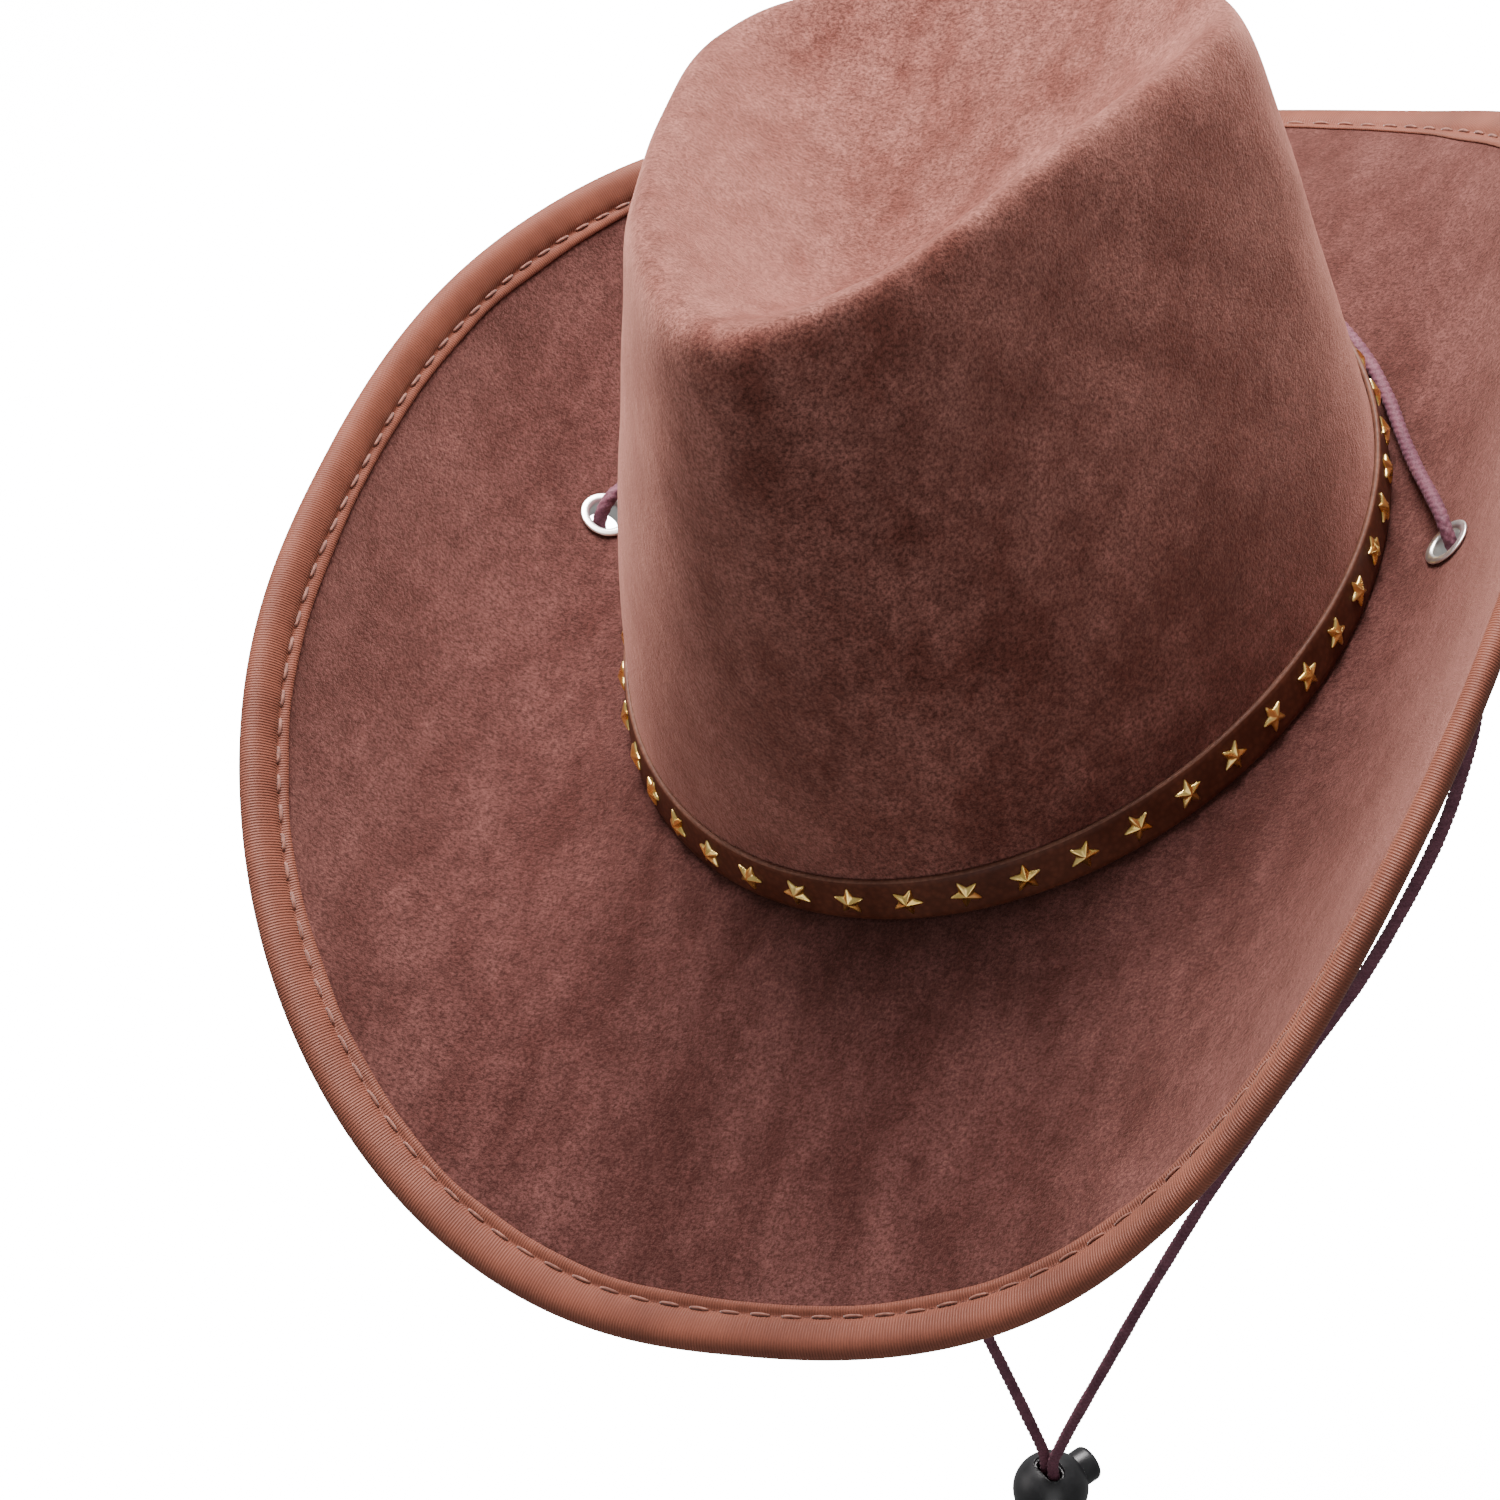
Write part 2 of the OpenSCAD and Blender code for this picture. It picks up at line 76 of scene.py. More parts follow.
# Layers
suede_t, stiffener_t, core_t, sweat_t = 0.8, 1.1, 1.6, 0.9
brim_t = 2 * suede_t + core_t
layer_gap, sweat_gap, sweat_h = 0.2, 0.5, 32
sweat_outer = suede_t + stiffener_t + sweat_gap
sweat_inner = sweat_outer + sweat_t
# Crown: half sizes of the head opening, and heights, half sizes and places of the ridge and dent
head_half_w, head_half_l = 81.5, 99
base_w, base_l = head_half_w + sweat_inner, head_half_l + sweat_inner
crown_front_h, crown_back_h = 140, 98
ridge_half_w, ridge_front, ridge_back, ridge_wide_y = 62, 78, 93, 56
dent_depth, dent_y, crown_lean = 26, 20, 4.5
# Brim: half sizes, squareness of its outline, and how far the sides rise and the ends dip
brim_half_w, brim_front, brim_back, brim_wide_y = 140, 182, 200, -18
front_square, back_square = 2.53, 2.2
side_curl, end_dip = 54, 21
# Trim
strap_low, strap_h, strap_t = 0.8, 10.5, 1.5
star_count, star_w, first_star = 46, 7, -1.6
eyelet_angle, eyelet_reach, barrel_d = math.radians(96), 0.32, 8.8
cord_d, lock_d, button_travel = 3.2, 20.8, 2.5

# ---- Camera ----


view_azimuth, view_elevation, view_roll = math.radians(34.46), math.radians(42.17), math.radians(-21.8)
view_aim, view_distance = (-0.051, -0.045, -0.012), 1.3
view_lens, sensor_w = 139.4, 36


def make_camera():
    """The photograph's viewing angle: above the front left, with the hat rolled in the frame."""
    back = Vector((
        math.sin(view_azimuth) * math.cos(view_elevation),
        -math.cos(view_azimuth) * math.cos(view_elevation),
        math.sin(view_elevation),
    ))
    level = Vector((0, 0, 1)).cross(back).normalized()
    raised = back.cross(level)
    right = level * math.cos(view_roll) + raised * math.sin(view_roll)
    up = raised * math.cos(view_roll) - level * math.sin(view_roll)
    camera = bpy.data.objects.new("camera", bpy.data.cameras.new("camera"))
    bpy.context.collection.objects.link(camera)
    camera.data.sensor_width = sensor_w
    camera.data.lens = view_lens
    turned = Matrix((right, up, back)).transposed().to_4x4()
    camera.matrix_world = Matrix.Translation(Vector(view_aim) + view_distance * back) @ turned
    bpy.context.scene.camera = camera


make_camera()

# ---- Materials ----


def new_material(name, inputs):
    """A material whose even numbers and colours are set on its shader's own sockets."""
    made = bpy.data.materials.new(name)
    made.use_nodes = True
    shader = made.node_tree.nodes["Principled BSDF"]
    for socket, value in inputs.items():
        shader.inputs[socket].default_value = value
    return made


def add_node(mat, kind, inputs, **settings):
    """A node with its settings, and its inputs set to a value or linked to a socket."""
    made = mat.node_tree.nodes.new(kind)
    for name, value in settings.items():
        setattr(made, name, value)
    for name, value in inputs.items():
        if isinstance(value, bpy.types.NodeSocket):
            mat.node_tree.links.new(value, made.inputs[name])
        else:
            made.inputs[name].default_value = value
    return made


def place(mat, scale=(1, 1, 1), turn=(0, 0, 0), uv=False):
    """Coordinates on the piece, stretched and turned."""
    source = add_node(mat, "ShaderNodeTexCoord", {}).outputs["UV" if uv else "Object"]
    inputs = {"Vector": source, "Scale": scale, "Rotation": turn}
    return add_node(mat, "ShaderNodeMapping", inputs).outputs[0]


def noise(mat, scale, detail=3, rough=0.55, where=None):
    """Noise with about this many bumps to the metre."""
    vector = where or place(mat)
    inputs = {"Vector": vector, "Scale": scale, "Detail": detail, "Roughness": rough}
    return add_node(mat, "ShaderNodeTexNoise", inputs).outputs["Fac"]


def ramp(mat, share, *stops):
    """Colours or greys over a share from 0 to 1, as rows of place and value."""
    made = add_node(mat, "ShaderNodeValToRGB", {"Fac": share})
    elements = made.color_ramp.elements
    for i, (at, value) in enumerate(stops):
        element = elements[i] if i < 2 else elements.new(at)
        element.position = at
        element.color = (*value, 1) if hasattr(value, "__len__") else (value, value, value, 1)
    return made.outputs["Color"]


def blend_colours(mat, first, second, share=1.0, mode="MULTIPLY"):
    inputs = {"Color1": first, "Color2": second, "Fac": share}
    return add_node(mat, "ShaderNodeMixRGB", inputs, blend_type=mode).outputs[0]


def bump(mat, height, strength, distance, under=None):
    """Relief from a height, on top of another relief."""
    inputs = {"Height": height, "Strength": strength, "Distance": distance}
    if under:
        inputs["Normal"] = under
    return add_node(mat, "ShaderNodeBump", inputs).outputs[0]


def finish_material(mat, colour=None, roughness=None, normal=None):
    shader = mat.node_tree.nodes["Principled BSDF"]
    for name, socket in (("Base Color", colour), ("Roughness", roughness), ("Normal", normal)):
        if socket:
            mat.node_tree.links.new(socket, shader.inputs[name])
    return mat


def suede_material(name, dark, light, sheen):
    """Brushed microfibre suede: a nap that lies in mottled strokes and catches light at its edges."""
    mat = new_material(name, {
        "Sheen Weight": sheen,
        "Sheen Roughness": 0.5,
        "Sheen Tint": (1.0, 0.47, 0.38, 1),
        "Specular IOR Level": 0.0,
    })
    strokes = noise(mat, 60, 7, 0.72, place(mat, (1, 0.45, 0.7), (0.3, 0.2, 0.6)))
    clouds = noise(mat, 16, 3, 0.55)
    patches = noise(mat, 210, 5, 0.7)
    fibres = noise(mat, 1250, 3, 0.8)
    colour = ramp(mat, strokes, (0.39, dark), (0.62, light))
    colour = blend_colours(mat, colour, ramp(mat, clouds, (0.3, 0.84), (0.7, 1.1)))
    colour = blend_colours(mat, colour, ramp(mat, patches, (0.3, 0.76), (0.7, 1.16)))
    colour = blend_colours(mat, colour, ramp(mat, fibres, (0.38, 0.42), (0.64, 1.45)))
    relief = bump(mat, strokes, 0.5, 0.0016)
    relief = bump(mat, patches, 0.45, 0.0007, relief)
    relief = bump(mat, fibres, 0.8, 0.0004, relief)
    return finish_material(mat, colour, ramp(mat, strokes, (0.3, 0.98), (0.7, 0.86)), relief)


def tape_material():
    """Ribbed satin tape, its ribs across the tape."""
    mat = new_material("ribbed tape", {
        "Sheen Weight": 0.15,
        "Sheen Roughness": 0.35,
        "Sheen Tint": (1.0, 0.6, 0.45, 1),
        "Specular IOR Level": 0.2,
    })
    inputs = {"Vector": place(mat, uv=True), "Scale": 470, "Distortion": 0.6}
    inputs |= {"Detail": 1, "Detail Scale": 0.4}
    ribs = add_node(mat, "ShaderNodeTexWave", inputs, bands_direction="X").outputs["Fac"]
    wear = noise(mat, 60, 4)
    fibres = noise(mat, 2200, 2)
    colour = ramp(mat, wear, (0.3, (0.135, 0.040, 0.024)), (0.75, (0.200, 0.062, 0.037)))
    colour = blend_colours(mat, colour, ramp(mat, ribs, (0.0, 0.78), (0.7, 1.08)))
    colour = blend_colours(mat, colour, ramp(mat, fibres, (0.3, 0.9), (0.7, 1.05)))
    relief = bump(mat, fibres, 0.2, 0.0001, bump(mat, ribs, 0.55, 0.0003))
    return finish_material(mat, colour, ramp(mat, ribs, (0.0, 0.72), (1.0, 0.5)), relief)


def thread_material(name, dark, light):
    """Twisted sewing thread."""
    mat = new_material(name, {"Sheen Weight": 0.3, "Specular IOR Level": 0.3})
    twist = noise(mat, 900, 2, 0.5, place(mat, (1, 1, 0.4), (0.5, 0.4, 0.7)))
    colour = ramp(mat, twist, (0.35, dark), (0.65, light))
    relief = bump(mat, twist, 0.5, 0.0002)
    return finish_material(mat, colour, ramp(mat, twist, (0.3, 0.75), (0.7, 0.55)), relief)


def leather_material(name, dark, light, grain=700):
    """Thin artificial leather with a fine pebbled grain."""
    mat = new_material(name, {"Specular IOR Level": 0.2})
    inputs = {"Vector": place(mat), "Scale": grain, "Randomness": 1.0}
    cells = add_node(mat, "ShaderNodeTexVoronoi", inputs, feature="F1").outputs["Distance"]
    wear = noise(mat, 70, 5)
    colour = ramp(mat, wear, (0.3, dark), (0.75, light))
    colour = blend_colours(mat, colour, ramp(mat, cells, (0.1, 1.1), (0.7, 0.75)))
    relief = bump(mat, wear, 0.1, 0.0005, bump(mat, cells, 0.3, 0.00012))
    return finish_material(mat, colour, ramp(mat, wear, (0.3, 0.48), (0.7, 0.62)), relief)


def felt_material():
    """Bonded non-woven stiffener: flat matted fibres."""
    mat = new_material("stiff lining", {"Specular IOR Level": 0.2})
    fibres = noise(mat, 420, 5, 0.7, place(mat, (1, 0.25, 0.6), (0.4, 0.2, 0.9)))
    crossed = noise(mat, 420, 5, 0.7, place(mat, (0.25, 1, 0.6), (0.1, 0.5, 0.3)))
    matted = blend_colours(mat, fibres, crossed, 0.5, "MIX")
    colour = ramp(mat, matted, (0.35, (0.012, 0.011, 0.011)), (0.7, (0.055, 0.05, 0.048)))
    relief = bump(mat, matted, 0.5, 0.0003)
    return finish_material(mat, colour, ramp(mat, matted, (0.3, 0.95), (0.7, 0.8)), relief)


def metal_material(name, dark, light, smooth, rough):
    """Plated metal with faint handling marks."""
    mat = new_material(name, {"Metallic": 1.0})
    marks = noise(mat, 260, 5, 0.65)
    colour = ramp(mat, marks, (0.3, dark), (0.6, light))
    relief = bump(mat, marks, 0.06, 0.0002)
    return finish_material(mat, colour, ramp(mat, marks, (0.35, smooth), (0.75, rough)), relief)


def cord_material():
    """Braided cord, its fibres along each strand of the braid."""
    mat = new_material("braided cord", {
        "Sheen Weight": 0.1,
        "Sheen Roughness": 0.4,
        "Sheen Tint": (0.9, 0.62, 0.7, 1),
        "Specular IOR Level": 0.25,
    })
    shade = noise(mat, 160, 3)
    fibres = noise(mat, 2600, 2, 0.6)
    colour = ramp(mat, shade, (0.3, (0.088, 0.026, 0.043)), (0.7, (0.150, 0.052, 0.074)))
    colour = blend_colours(mat, colour, ramp(mat, fibres, (0.3, 0.6), (0.7, 1.3)))
    relief = bump(mat, fibres, 0.4, 0.00015)
    return finish_material(mat, colour, ramp(mat, fibres, (0.3, 0.8), (0.7, 0.6)), relief)


def plastic_material():
    """Satin black moulded plastic."""
    mat = new_material("black plastic", {"Specular IOR Level": 0.5})
    texture = noise(mat, 1300, 3, 0.6)
    scuffs = noise(mat, 220, 6, 0.7)
    colour = ramp(mat, scuffs, (0.35, (0.008, 0.008, 0.009)), (0.8, (0.022, 0.022, 0.024)))
    relief = bump(mat, texture, 0.12, 0.0001)
    return finish_material(mat, colour, ramp(mat, scuffs, (0.3, 0.30), (0.75, 0.46)), relief)


crown_cloth = suede_material("crown suede", (0.104, 0.0345, 0.0270), (0.206, 0.0840, 0.0680), 0.6)
# The brim's copy of the same suede is darker and has less sheen than the crown's: painted shade, for the
# lesser light that falls on the brim
brim_cloth_painted_shade = suede_material("brim suede with painted shade", (0.046, 0.0158, 0.0140), (0.090, 0.0355, 0.0315), 0.45)
ribbed_tape = tape_material()
stitch_thread = thread_material("rust thread", (0.120, 0.036, 0.022), (0.230, 0.080, 0.050))
strap_leather = leather_material("strap leather", (0.075, 0.020, 0.010), (0.125, 0.039, 0.021))
cut_edge = leather_material("strap cut edge", (0.13, 0.050, 0.032), (0.22, 0.095, 0.062), 1100)
band_leather = leather_material("sweatband leather", (0.030, 0.014, 0.010), (0.055, 0.028, 0.020), 520)
lining = felt_material()
gold = metal_material("gold plate", (0.90, 0.58, 0.14), (1.0, 0.74, 0.26), 0.24, 0.38)
silver = metal_material("silver plate", (0.86, 0.84, 0.80), (0.97, 0.96, 0.93), 0.3, 0.42)
steel = metal_material("spring steel", (0.35, 0.35, 0.36), (0.58, 0.58, 0.58), 0.3, 0.45)
plum_braid = cord_material()
black_plastic = plastic_material()

# ---- Meshes made of rings ----


def unit(v):
    """Vectors at length one."""
    return v / np.maximum(np.linalg.norm(v, axis=-1, keepdims=True), 1e-9)


def runs(points):
    """Distance run at each point of a line."""
    steps = np.linalg.norm(np.diff(points, axis=0), axis=1)
    return np.concatenate([[0], np.cumsum(steps)])


def new_piece(name, points, faces, body, material, node=()):
    """A smooth piece from points in millimetres, riding on a body and standing for CAD nodes."""
    mesh = bpy.data.meshes.new(name)
    mesh.from_pydata((np.asarray(points) * MM).tolist(), [], faces)
    obj = bpy.data.objects.new(name, mesh)
    bpy.context.collection.objects.link(obj)
    mesh.shade_smooth()
    mesh.materials.append(material)
    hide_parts(*([node] if isinstance(node, str) else node))
    if body:
        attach(obj, body)
    return obj


def ring_faces(count, n, closed):
    """Four-sided faces between neighbouring rings of n points, with their ring and column."""
    ring, column = (a.ravel() for a in np.mgrid[0:count if closed else count - 1, 0:n])
    above, beside = (ring + 1) % count, (column + 1) % n
    faces = np.stack([ring * n + column, ring * n + beside, above * n + beside, above * n + column], 1)
    return faces, ring, column


def ring_piece(name, rings, body, material, node=(), tips=None):
    """A solid through rings of points, closed on two tips, or from last ring to first.

    UVs are in metres: round the longest ring, and from ring to ring.
    """
    rings = np.asarray(rings)
    count, n = rings.shape[:2]
    faces, ring, column = ring_faces(count, n, tips is None)
    points = rings.reshape(-1, 3)
    fans = []
    if tips is not None:
        points = np.vstack([points, tips])
        end = (count - 1) * n
        fans = [(count * n, (i + 1) % n, i) for i in range(n)]
        fans += [(count * n + 1, end + i, end + (i + 1) % n) for i in range(n)]
    obj = new_piece(name, points, faces.tolist() + fans, body, material, node)
    longest = rings[np.argmax(np.linalg.norm(rings - np.roll(rings, 1, 1), axis=2).sum(1))]
    along = runs(np.vstack([longest, longest[:1]]))
    across = runs(np.concatenate([rings, rings[:1]], 0)[:, 0])
    u = np.stack([along[column], along[column + 1], along[column + 1], along[column]], 1)
    v = np.stack([across[ring], across[ring], across[ring + 1], across[ring + 1]], 1)
    uv = np.zeros((len(obj.data.loops), 2))
    uv[: u.size] = np.stack([u.ravel(), v.ravel()], 1) * MM
    obj.data.uv_layers.new(name="run").data.foreach_set("uv", uv.ravel())
    outward(obj)
    return obj


def outward(obj):
    """Turns every face of a closed mesh to point out."""
    mesh = bmesh.new()
    mesh.from_mesh(obj.data)
    bmesh.ops.recalc_face_normals(mesh, faces=mesh.faces)
    mesh.to_mesh(obj.data)
    mesh.free()


def tube_rings(path, radius, sides, first_side=(0, 1, 0)):
    """Rings along a path, carried along without twist.

    radius is a number, or one for each ring and side.
    """
    forward = unit(np.gradient(path, axis=0))
    side = np.array(first_side, float)
    radius = np.broadcast_to(np.asarray(radius, float), (len(path), sides))
    turn = 2 * np.pi * np.arange(sides) / sides
    rings = []
    for point, ahead, r in zip(path, forward, radius):
        side = unit(side - (side @ ahead) * ahead)
        up = np.cross(ahead, side)
        rings.append(point + r[:, None] * (np.cos(turn)[:, None] * side + np.sin(turn)[:, None] * up))
    return np.array(rings)


def merged(parts):
    """Points and faces of many small solids as one list of each."""
    points, faces, start = [], [], 0
    for part_points, part_faces in parts:
        points.append(part_points)
        faces += [[start + i for i in face] for face in part_faces]
        start += len(part_points)
    return np.vstack(points), faces


def capped(rings):
    """Points and faces of a solid through open rings, with a fan at each end."""
    count, n = rings.shape[:2]
    faces = ring_faces(count, n, False)[0].tolist()
    end = (count - 1) * n
    faces += [(count * n, (i + 1) % n, i) for i in range(n)]
    faces += [(count * n + 1, end + i, end + (i + 1) % n) for i in range(n)]
    return np.vstack([rings.reshape(-1, 3), rings[0].mean(0), rings[-1].mean(0)]), faces


def apply_modifiers(obj):
    """Makes the modifiers' result the piece's own mesh."""
    graph = bpy.context.evaluated_depsgraph_get()
    made = bpy.data.meshes.new_from_object(obj.evaluated_get(graph))
    obj.modifiers.clear()
    obj.data = made


def cut_away(obj, cutters):
    """Takes other solids out of a piece, then removes them."""
    for cutter in cutters:
        modifier = obj.modifiers.new("cut", "BOOLEAN")
        modifier.operation, modifier.solver, modifier.object = "DIFFERENCE", "EXACT", cutter
    apply_modifiers(obj)
    for cutter in cutters:
        bpy.data.objects.remove(cutter)


def cutter(points, faces):
    """A solid to take out of a piece, from points in millimetres."""
    mesh = bpy.data.meshes.new("cutter")
    mesh.from_pydata((np.asarray(points) * MM).tolist(), [], faces)
    obj = bpy.data.objects.new("cutter", mesh)
    bpy.context.collection.objects.link(obj)
    outward(obj)
    return obj


def round_edges(obj, width, limit=35):
    """Rounds the sharp edges of a hard piece."""
    modifier = obj.modifiers.new("rounding", "BEVEL")
    modifier.width, modifier.segments = width * MM, 3
    modifier.limit_method, modifier.angle_limit = "ANGLE", math.radians(limit)
    apply_modifiers(obj)


# ---- Chin cord ----

# From the right eyelet over the brim to the middle of the back; the left half is its mirror image
back_route_half = [
    (-104, 8, 0.4), (-103.9, 8.2, 2.3), (-103.4, 8.6, 4.4), (-102.5, 9.6, 6.4),
    (-101.4, 11.4, 8), (-100, 14, 8.8), (-97.4, 18.6, 8.2), (-93.3, 25.4, 6.5),
    (-88, 34, 4.6), (-82, 44.5, 3.2), (-74.7, 58, 2.3), (-66.7, 70.3, 2),
    (-57.4, 81.5, 1.8), (-46.3, 91.2, 1.8), (-33, 98.9, 1.8), (-17, 104.6, 1.8), (0, 106.6, 1.8),
]
# From below each eyelet to the lock
right_route = [
    (-104, 8, -2), (-104, 8, -10), (-103.3, 8.1, -26), (-102, 8.4, -52),
    (-100, 8.9, -90), (-98, 9.6, -130), (-95.7, 9.8, -170), (-93.4, 10, -210),
    (-91.2, 10.2, -250), (-89, 10.5, -288), (-87.3, 10.8, -315), (-86.2, 11, -335),
]
left_route = [
    (104, 8, -2), (104, 8, -10), (103, 8.1, -26), (100, 8.3, -40),
    (94, 8.5, -58), (83, 8.8, -84), (68, 9.1, -112), (50, 9.4, -142),
    (30, 9.6, -171), (9, 9.8, -202), (-12, 10, -234), (-35, 9.8, -271),
    (-56, 9.5, -306), (-71, 9.2, -331), (-78.5, 9, -344),
]
lock_tilt, lock_turn = math.radians(12), math.radians(55)
cord_gap, knot_drop = 2, 38
lock_centre = (-87, 10, -365)
lock_turned = Matrix.Rotation(lock_tilt, 4, "Y") @ Matrix.Rotation(lock_turn, 4, "Z")
lock_place = Matrix.Translation(lock_centre) @ lock_turned
strand_top = 0.4
tail_heights = (14, 4, -8, -22, -knot_drop + 3)


def at_lock(points):
    """Points of the lock's own frame: X to the button, Y from cord to cord and Z up the cords."""
    return np.array([lock_place @ Vector(p) for p in np.asarray(points, float).reshape(-1, 3)])


def smooth_path(route, step=0.3):
    """Points about a step apart on a smooth curve through the route."""
    p = np.array(route, float)
    p = np.vstack([2 * p[0] - p[1], p, 2 * p[-1] - p[-2]])
    fine = []
    for a, b, c, d in zip(p[:-3], p[1:-2], p[2:-1], p[3:]):
        for x in np.linspace(0, 1, 20, endpoint=False):
            fine.append(b + 0.5 * x * (c - a + x * (2 * a - 5 * b + 4 * c - d + x * (3 * (b - c) + d - a))))
    fine = np.array(fine + [p[-2]])
    run = runs(fine)
    even = np.linspace(0, run[-1], round(run[-1] / step))
    return np.stack([np.interp(even, run, fine[:, axis]) for axis in range(3)], 1)


braid_strands, braid_pitch, braid_relief = 8, 9.0, 0.32


def braid_radius(path, sides, d):
    """Radius of a braided cord for each ring and side, with strands that pass over and under."""
    run = runs(path)[:, None]
    turn = np.arange(sides)[None, :] / sides
    one = braid_strands / 2 * (turn + run / braid_pitch)
    other = braid_strands / 2 * (turn - run / braid_pitch)
    over = (np.floor(one) + np.floor(other)) % 2
    across, length = np.where(over, one % 1, other % 1), np.where(over, other % 1, one % 1)
    height = np.sin(np.pi * across) ** 0.7 * np.sin(np.pi * length) ** 0.35
    uneven = 0.02 * np.sin(run / 7.3) + 0.02 * np.sin(run / 3.1 + 1)
    return d / 2 * (1 + uneven) - braid_relief * (1 - height)


def braided_piece(name, route, body, node, sides=32):
    """A braided cord along a route. Returns it and the path it follows, in metres."""
    path = smooth_path(route)
    rings = tube_rings(path, braid_radius(path, sides, cord_d + 0.15), sides)
    obj = ring_piece(name, rings, body, plum_braid, node, tips=(path[0], path[-1]))
    return obj, (path[::4] * MM).tolist() + [(path[-1] * MM).tolist()]


def make_chin_cord():
    """The stretch round the back, and the two strands to the lock, which bend below the eyelets."""
    half = back_route_half
    route = half + [(-x, y, z) for x, y, z in reversed(half[:-1])]
    back, path = braided_piece("chin_cord_back_braid", route, "hat", "chin_cord_back")
    for side, route, name in ((1, right_route, "right"), (-1, left_route, "left")):
        top = (route[0][0], route[0][1], strand_top)
        tail = [tuple(at_lock([(0, side * cord_gap, height)])[0]) for height in tail_heights]
        strand, path = braided_piece(
            f"chin_cord_{name}_braid", [top] + route + tail, None, f"chin_cord_{name}")
        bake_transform(strand)
        make_knot() if side == 1 else ()


def make_knot():
    """The two cords tied together below the lock, with short sealed tails."""
    turn = np.linspace(0, 2 * np.pi, 160, endpoint=False)
    winding_r, winding_h = 2.5 + 1.35 * np.cos(3 * turn), 2.6 * np.sin(3 * turn)
    across, along = winding_r * np.cos(2 * turn), winding_r * np.sin(2 * turn)
    winding = np.stack([across, along, winding_h - knot_drop], 1)
    rings = tube_rings(at_lock(winding), braid_radius(winding, 24, cord_d - 0.2), 24)
    made = [ring_piece("chin_cord_knot_tied", rings, "chin_loop", plum_braid, "chin_cord_knot")]
    for side, name in ((-1, "left"), (1, "right")):
        tail = [(0, 1.4, -2), (0.3, 2.2, -6), (0.8, 3.4, -11)]
        path = smooth_path(at_lock([(x, side * y, z - knot_drop) for x, y, z in tail]))
        taper = np.clip((runs(path)[-1] - runs(path)) / 1.5, 0.62, 1)[:, None]
        rings = tube_rings(path, braid_radius(path, 24, cord_d) * taper, 24)
        made.append(ring_piece(
            f"chin_cord_tail_{name}", rings, "chin_loop", plum_braid, tips=(path[0], path[-1])))
    return made


make_chin_cord()

# ---- Cord lock ----

plunger_d, bore_end, plunger_end, button_end, channel_d = 10.2, -7.8, -3.4, 14.6, 4.4


def lathe_rings(profile, steps, axis="z"):
    """Rings about an axis from rows of radius and place along it."""
    turn = 2 * np.pi * np.arange(steps) / steps
    rings = [[(r * c, r * s, z) for c, s in zip(np.cos(turn), np.sin(turn))] for r, z in profile]
    rings = np.array(rings)
    return rings if axis == "z" else rings[:, :, [2, 0, 1]]


def arc(centre_r, centre_z, radius, start, end, steps):
    """Rows of radius and place on a rounded edge, between two angles in degrees."""
    turn = np.radians(np.linspace(start, end, steps))
    return [(centre_r + radius * math.cos(a), centre_z + radius * math.sin(a)) for a in turn]


def slot_solid(d, low, high):
    """Slot with round ends for the two cords, as points and faces in the lock's frame."""
    turn = np.radians(np.arange(0, 360, 10))
    x = d / 2 * np.cos(turn)
    y = d / 2 * np.sin(turn) + np.copysign(cord_gap, np.sin(turn) + 1e-6)
    return capped(np.array([np.stack([x, y, np.full(len(turn), z)], 1) for z in (low, high)]))


def lock_piece(name, rings, body, node):
    """A plastic part of the lock, from rings in the lock's own frame."""
    points, faces = capped(rings)
    obj = new_piece(name, at_lock(points), faces, body, black_plastic, node)
    outward(obj)
    return obj


def make_lock():
    """A ball with a slot for the cords and a sprung button across it."""
    ball = arc(0, 0, lock_d / 2, -89.9, 89.9, 61)
    body = lock_piece("lock_ball", lathe_rings(ball, 96), "cord_lock", "lock_body")
    bore_d = plunger_d + 0.4
    cuts = [
        capped(lathe_rings([(bore_d / 2, bore_end), (bore_d / 2, 12)], 72, "x")),
        slot_solid(channel_d, -lock_d, lock_d),
        slot_solid(channel_d + 1.6, lock_d / 2 - 1.8, lock_d),
        slot_solid(channel_d + 1.2, -lock_d, -lock_d / 2 + 1.4),
    ]
    cut_away(body, [cutter(at_lock(points), faces) for points, faces in cuts])
    round_edges(body, 0.28)
    body.data.shade_smooth()
    r, edge = plunger_d / 2, 1.7
    side_end = button_end - edge - 0.3
    profile = [(0.05, plunger_end), (r - 0.4, plunger_end), (r, plunger_end + 0.4)]
    profile += [(r, z) for z in np.linspace(plunger_end + 2, side_end, 8)]
    profile += arc(r - edge, side_end, edge, 0, 70, 8)
    profile += [(2.4, button_end + 0.05), (1.2, button_end + 0.14), (0.05, button_end + 0.17)]
    button = lock_piece("lock_button_cap", lathe_rings(profile, 72, "x"), "lock_button", "lock_plunger")
    pinch = cord_d / 2 + 0.1
    sides = ((-pinch, pinch + button_travel), (-cord_gap - pinch, cord_gap + pinch), (-7, 7))
    box = [(x, y, z) for x in sides[0] for y in sides[1] for z in sides[2]]
    box_faces = [(0, 1, 3, 2), (4, 6, 7, 5), (0, 4, 5, 1), (2, 3, 7, 6), (0, 2, 6, 4), (1, 5, 7, 3)]
    cut_away(button, [cutter(at_lock(box), box_faces)])
    round_edges(button, 0.2, 50)
    button.data.shade_smooth()
    make_spring()


def make_spring():
    """Steel coil behind the plunger."""
    turns, wire, coil_d, gap = 4, 0.5, 6.6, 0.35
    length = plunger_end - bore_end - 2 * gap - wire
    share = np.linspace(0, 1, 40 * turns)
    turn = 2 * np.pi * turns * share
    low = bore_end + gap + wire / 2
    coil = np.stack([low + length * share, coil_d / 2 * np.cos(turn), coil_d / 2 * np.sin(turn)], 1)
    rings = tube_rings(at_lock(coil), wire / 2, 12, (1, 0, 0))
    spring = ring_piece("lock_spring_coil", rings, "cord_lock", steel, "lock_spring",
                        tips=(rings[0].mean(0), rings[-1].mean(0)))
    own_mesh(spring)


make_lock()

# ---- Crown ----

